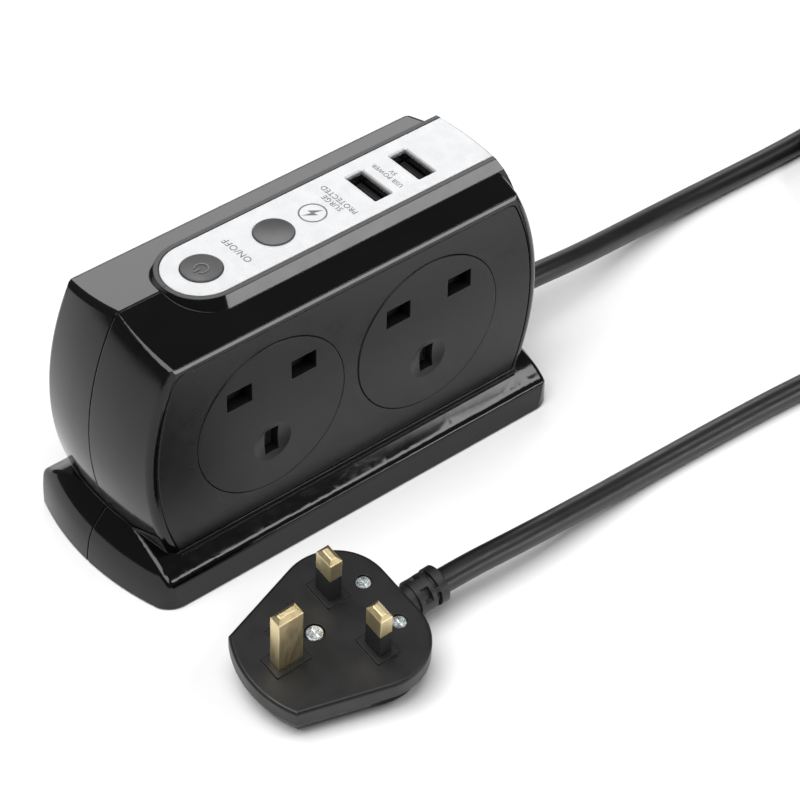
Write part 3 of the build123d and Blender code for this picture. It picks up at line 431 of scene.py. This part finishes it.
yaw, rise, lean = (radians(angle) for angle in PLUG_TURN)
plug_frame = (
    Matrix.Translation(PLUG_AT)
    @ Matrix.Rotation(yaw, 4, "Z")
    @ Matrix.Rotation(-rise, 4, "Y")
    @ Matrix.Rotation(lean, 4, "X")
)


def eased(angle, start, end):
    """Runs smoothly from 0 to 1 between two angles, in degrees."""
    share = min(1, max(0, (angle - start) / (end - start)))
    return share * share * (3 - 2 * share)


def ring_radius(wound):
    """Radius of the cord's turn after winding that many degrees clockwise."""
    inward = sum(eased(wound, *move) for move in INWARD_MOVES)
    outward = sum(eased(wound, *move) for move in OUTWARD_MOVES)
    return OUTER_TURN_R - (inward - outward) * TURN_PITCH


def coil_turns():
    """Three turns inwards on the floor, a step up, then two and a half outwards on top."""
    # the curve cuts inside its control points, so they stand a little further out
    fuller = 1 / (0.75 + 0.25 * cos(2 * pi / COIL_STEPS))
    points = []
    for n in range(1, round(COIL_TURNS * COIL_STEPS)):
        wound = 360 * n / COIL_STEPS
        height = FLOOR_Z + (TOP_LAYER_Z - FLOOR_Z) * eased(wound, *CLIMB)
        angle = radians(90 - wound)
        arm = Vector((cos(angle), sin(angle), 0)) * ring_radius(wound) * fuller
        points.append(COIL_CENTRE + arm + Vector((0, 0, height)))
    return points


def cord_points():
    """The whole cord's control points, from the clamp in the block to the plug."""
    plug_end = [plug_frame @ Vector((u * MM, 0, PLUG_CORD_W)) for u in (30.5, 56)]
    to_plug = plug_end + [Vector(point) * MM for point in PLUG_ROUTE]
    return [Vector(point) * MM for point in BLOCK_ROUTE] + coil_turns() + to_plug[::-1]


def make_cord():
    curve = bpy.data.curves.new("mains_cord", "CURVE")
    curve.dimensions = "3D"
    curve.bevel_depth = CORD_R
    curve.bevel_resolution = 7
    curve.resolution_u = 8
    curve.use_fill_caps = True
    spline = curve.splines.new("NURBS")
    points = cord_points()
    spline.points.add(len(points) - 1)
    for control, point in zip(spline.points, points):
        control.co = (*point, 1)
    spline.order_u = 3
    spline.use_endpoint_u = True
    return add_piece("mains_cord", curve, "block", "cord_black")


cord = make_cord()
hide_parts("cord_block_run", "cord_coil", "cord_plug_run")

# ---- gland and ties on the cord ----------------------------------------------------------------

GLAND_START = Vector((63.8, 0, 19)) * MM
GLAND_LENGTH = 22.2
GLAND_BORE = 3.74
GLAND_HEAD = 7.0  # the plain stretch before the ribs
GLAND_RIBS = 5
GLAND_CREST = 5.7
GLAND_TAPER = 0.25  # a rib


def gland_profile():
    """Tapered sleeve with shallow ribs, as (distance along, radius)."""
    outline = [(0, GLAND_BORE), (0, 5.8), (0.3, 5.95), (5.6, 5.95), (6.0, 5.6)]
    pitch = (GLAND_LENGTH - GLAND_HEAD) / GLAND_RIBS
    for n in range(GLAND_RIBS):
        at = 6.4 + n * pitch
        crest = GLAND_CREST - GLAND_TAPER * n
        outline += [
            (at, crest - 0.5),
            (at + 0.8, crest - 0.5),
            (at + 1.1, crest - 0.05),
            (at + 1.4, crest),
            (at + pitch - 0.5, crest - 0.05),
            (at + pitch - 0.2, crest - 0.4),
        ]
    outline += [(GLAND_LENGTH - 0.2, 4.2), (GLAND_LENGTH, 4.0), (GLAND_LENGTH, GLAND_BORE)]
    return [(along * MM, radius * MM) for along, radius in outline]


gland = add_piece(
    "gland_sleeve",
    turned("gland_sleeve", gland_profile(), GLAND_START, (1, 0, 0)),
    "block",
    "boot_black",
)
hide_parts("cord_gland")

TIE_ANGLES = (40, 165, 290)
TIE_WIDTH = 5 * MM
TIE_THICK = 0.7 * MM
TIE_RADII = (31.15, 53.85)
TIE_HEIGHTS = (0.75, 14.75)
TIE_CORNER = 3.4
TIE_CORNER_STEPS = 6


def tie_path():
    """Rounded outline of the wound bundle's section, as (radius, height) in metres."""
    low_r, high_r = TIE_RADII[0] + TIE_CORNER, TIE_RADII[1] - TIE_CORNER
    low_z, high_z = TIE_HEIGHTS[0] + TIE_CORNER, TIE_HEIGHTS[1] - TIE_CORNER
    corners = [
        (high_r, low_z, -90),
        (high_r, high_z, 0),
        (low_r, high_z, 90),
        (low_r, low_z, 180),
    ]
    path = []
    for centre_r, centre_z, start in corners:
        for step in range(TIE_CORNER_STEPS + 1):
            angle = radians(start + 90 * step / TIE_CORNER_STEPS)
            spot = Vector((centre_r + TIE_CORNER * cos(angle), centre_z + TIE_CORNER * sin(angle)))
            path.append(spot * MM)
    return path


def tie_sections():
    """Sections of a flat strip that stands off the tie's path by its thickness."""
    path = tie_path()
    half = TIE_WIDTH / 2
    sections = []
    for n, inner in enumerate(path):
        along = (path[(n + 1) % len(path)] - path[n - 1]).normalized()
        outer = inner + Vector((along.y, -along.x)) * TIE_THICK
        corners = [(inner, -half), (inner, half), (outer, half), (outer, -half)]
        sections.append([(spot.x, side, spot.y) for spot, side in corners])
    return sections


def make_ties():
    """Three ties round the coil. Returns their names."""
    names = []
    for number, angle in enumerate(TIE_ANGLES, 1):
        name = f"coil_tie_{number}"
        mesh = looped(name, tie_sections())
        mesh.transform(Matrix.Translation(COIL_CENTRE) @ Matrix.Rotation(radians(angle), 4, "Z"))
        names.append(add_piece(name, mesh, "block", "boot_black").name)
    return names


ties = make_ties()

# ---- return springs ----------------------------------------------------------------------------


def give_way(node):
    """Stands a copy of a spring, with a mesh of its own, in for its node on the block."""
    mesh = nodes[node].data.copy()
    mesh.materials.clear()
    spring = add_piece(f"{node}_wire", mesh, "block", "spring_steel")
    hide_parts(node)
    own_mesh(spring)


give_way("button_spring")
for place in ("front_left", "front_right", "rear_left", "rear_right"):
    give_way(f"{place}_shutter_spring")

# ---- boot where the cord enters the plug -------------------------------------------------------

BOOT_STEPS = 96
# How far from the plug's earth pin the boot's parts start and end, in mm
BOOT_START, BOOT_END = 37.0, 52.0
BOOT_NECK_END = 42.3
BOOT_WINDOWS = (44.0, 46.4)
BOOT_NOTCHES = (47.9, 49.1)
BOOT_RING_START = 48.5
BOOT_NECK_R = 4.75
BOOT_WINDOW_R = 3.95
BOOT_NOTCH_R = 4.3
BOOT_SLEEVE_R = 5.35
BOOT_RING_R = 5.6
BOOT_CHAMFER = 0.3
BOOT_WALL = 0.06  # half the length over which the radius changes


def boot_radius(along, angle):
    """Outer radius of the cord's boot in mm: a neck, a windowed sleeve and an end ring."""
    turn = angle % 90
    if along < BOOT_NECK_END:
        return BOOT_NECK_R
    if BOOT_WINDOWS[0] < along < BOOT_WINDOWS[1] and 20 < turn < 70:
        return BOOT_WINDOW_R
    if BOOT_NOTCHES[0] < along < BOOT_NOTCHES[1] and not 35 < turn < 55:
        return BOOT_NOTCH_R
    return BOOT_SLEEVE_R if along < BOOT_RING_START else BOOT_RING_R


def boot_section(along, shrink):
    """Points round the boot at that distance from the plug's earth pin."""
    section = []
    for n in range(BOOT_STEPS):
        angle = 360 * n / BOOT_STEPS
        radius = boot_radius(along, angle) - shrink
        around = radians(angle)
        spot = Vector((along, radius * cos(around), PLUG_CORD_W / MM + radius * sin(around)))
        section.append(plug_frame @ (spot * MM))
    return section


def make_boot():
    stations = [BOOT_START]
    for at in (BOOT_NECK_END, *BOOT_WINDOWS, *BOOT_NOTCHES):
        stations += [at - BOOT_WALL, at + BOOT_WALL]
    stations.append(BOOT_END - BOOT_CHAMFER)
    sections = [boot_section(along, 0.0) for along in stations]
    sections.append(boot_section(BOOT_END, BOOT_CHAMFER))
    return add_piece("cord_boot", stacked("cord_boot", sections), "block", "boot_black")


boot = make_boot()
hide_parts("plug_boot")

# ---- marks on the control panel and the plug ---------------------------------------------------

PRINT_RISE = 0.03 * MM
MOULDED_RISE = 0.22 * MM


def lettering(name, words, size, place, slot, rise, look=None):
    """Flat printed or moulded words, centred at the place that the matrix gives."""
    curve = bpy.data.curves.new(name, "FONT")
    curve.body = words
    curve.size = size
    curve.align_x = "CENTER"
    curve.align_y = "CENTER"
    curve.extrude = rise
    curve.resolution_u = 4
    curve.space_character = 1.08
    curve.space_line = 0.95
    words_object = bpy.data.objects.new(name, curve)
    scene.collection.objects.link(words_object)
    bpy.context.view_layer.update()
    mesh = bpy.data.meshes.new_from_object(words_object)
    bpy.data.objects.remove(words_object)
    mesh.name = name
    mesh.materials.clear()
    mesh.transform(place)
    return add_piece(name, mesh, "block", slot, look)


print_look = Look("printed_grey", IOR=1.45)
print_look.colour(print_look.noise(2600, 4), grey(0.1), grey(0.15))
print_look.roughness(print_look.noise(900), 0.4, 0.6)
print_look.surface(0.00005, (print_look.noise(4000), 0.000003))
raised_look = satin_plastic("raised_mark", grey(0.12), grey(0.15), (0.3, 0.4), 0.000004)

PANEL_FACE = 84.86 * MM
BUTTON_FACE = 84.78 * MM
BUTTON_X = -32.6
SYMBOL_X = 5.8
READING = Matrix(((0, -1, 0, 0), (1, 0, 0, 0), (0, 0, 1, 0), (0, 0, 0, 1)))  # words along +Y


def on_roof(x, height):
    """Place of a mark on the block's centre line."""
    return Matrix.Translation((x * MM, 0, height)) @ READING


PANEL_WORDS = {  # words, size and place along the block
    "mark_on_off": ("ON/OFF", 3.1, -20.4),
    "mark_surge": ("SURGE\nPROTECTED", 2.6, 14.0),
    "mark_usb": ("USB POWER\n5V", 2.2, 33.6),
}
for name, (words, size, x) in PANEL_WORDS.items():
    place = on_roof(x, PANEL_FACE)
    lettering(name, words, size * MM, place, "silver_panel", PRINT_RISE, print_look.material)


def surge_symbol():
    """Lightning bolt in a ring, beside the surge light."""
    bolt = [(0.9, 3.0), (-1.7, -0.5), (-0.2, -0.3), (-0.9, -3.0), (1.7, 0.5), (0.2, 0.3)]
    bolt = [(x * MM, y * MM) for x, y in bolt]
    inner, outer = (arc_outline(radius * MM) for radius in (3.7, 4.15))
    for mesh in (
        band_between("symbol_ring", inner, outer, PRINT_RISE),
        prism("symbol_bolt", bolt, PRINT_RISE),
    ):
        mesh.transform(on_roof(SYMBOL_X, PANEL_FACE))
        add_piece(mesh.name, mesh, "block", "silver_panel", print_look.material)


def power_symbol():
    """Raised ring with a bar through its gap, on the dished button."""
    height = 0.16 * MM
    bar = [(u * MM, v * MM) for u, v in ((-0.22, 0.5), (0.22, 0.5), (0.22, 2.6), (-0.22, 2.6))]
    inner, outer = (arc_outline(radius * MM, 125, 290) for radius in (1.75, 2.2))
    for mesh in (
        band_between("power_mark_ring", inner, outer, height, closed=False),
        prism("power_mark_bar", bar, height),
    ):
        mesh.transform(on_roof(BUTTON_X, BUTTON_FACE))
        add_piece(mesh.name, mesh, "power_button", "button_grey", raised_look)


surge_symbol()
power_symbol()

PIN_LETTERS = {  # the letter and its place on the plug's face, in mm
    "letter_earth": ("E", (1.2, 10.2)),
    "letter_live": ("L", (23.6, -17.0)),
    "letter_neutral": ("N", (11.5, 13.6)),
}
for name, (letter, (u, v)) in PIN_LETTERS.items():
    place = plug_frame @ Matrix.Translation((u * MM, v * MM, 0.0)) @ READING.inverted()
    lettering(name, letter, 3.2 * MM, place, "plug_black", MOULDED_RISE)

# ---- floor and light ---------------------------------------------------------------------------

FLOOR_HALF = 6.0
LIGHT_AIM = Vector((0, 0, 0.04))
WORLD_STRENGTH = 0.12


def make_floor():
    build = bmesh.new()
    bmesh.ops.create_grid(build, x_segments=1, y_segments=1, size=FLOOR_HALF)
    mesh = bpy.data.meshes.new("floor")
    build.to_mesh(mesh)
    build.free()
    floor = bpy.data.objects.new("floor", mesh)
    scene.collection.objects.link(floor)
    look = Look("floor_paper", Roughness=0.9)
    look.colour(look.noise(30), grey(0.86), grey(0.88))
    mesh.materials.append(look.material)


def soft_box(name, direction, distance, size, radiance):
    """Area light of (width, height) in metres, with its even brightness, facing the object."""
    lamp = bpy.data.lights.new(name, "AREA")
    lamp.shape = "RECTANGLE"
    lamp.size, lamp.size_y = size
    lamp.energy = radiance * pi * size[0] * size[1]
    holder = bpy.data.objects.new(name, lamp)
    scene.collection.objects.link(holder)
    away = Vector(direction).normalized()
    holder.location = LIGHT_AIM + away * distance
    holder.rotation_mode = "QUATERNION"
    holder.rotation_quaternion = away.to_track_quat("Z", "Y")


make_floor()
soft_box("overhead", (-0.35, -0.1, 1.0), 1.6, (1.4, 1.4), 5.6)
soft_box("rear_key", (0.52, 0.70, 0.51), 1.5, (0.8, 0.9), 3.0)
soft_box("front_right_strip", (0.5, -0.86, 0.08), 1.5, (0.9, 0.22), 8.5)
soft_box("front_high_strip", (0.48, -0.47, 0.74), 1.5, (0.7, 0.24), 8.0)

world = bpy.data.worlds.new("studio")
world.use_nodes = True
background = world.node_tree.nodes["Background"]
background.inputs["Color"].default_value = (1, 1, 1, 1)
background.inputs["Strength"].default_value = WORLD_STRENGTH
scene.world = world
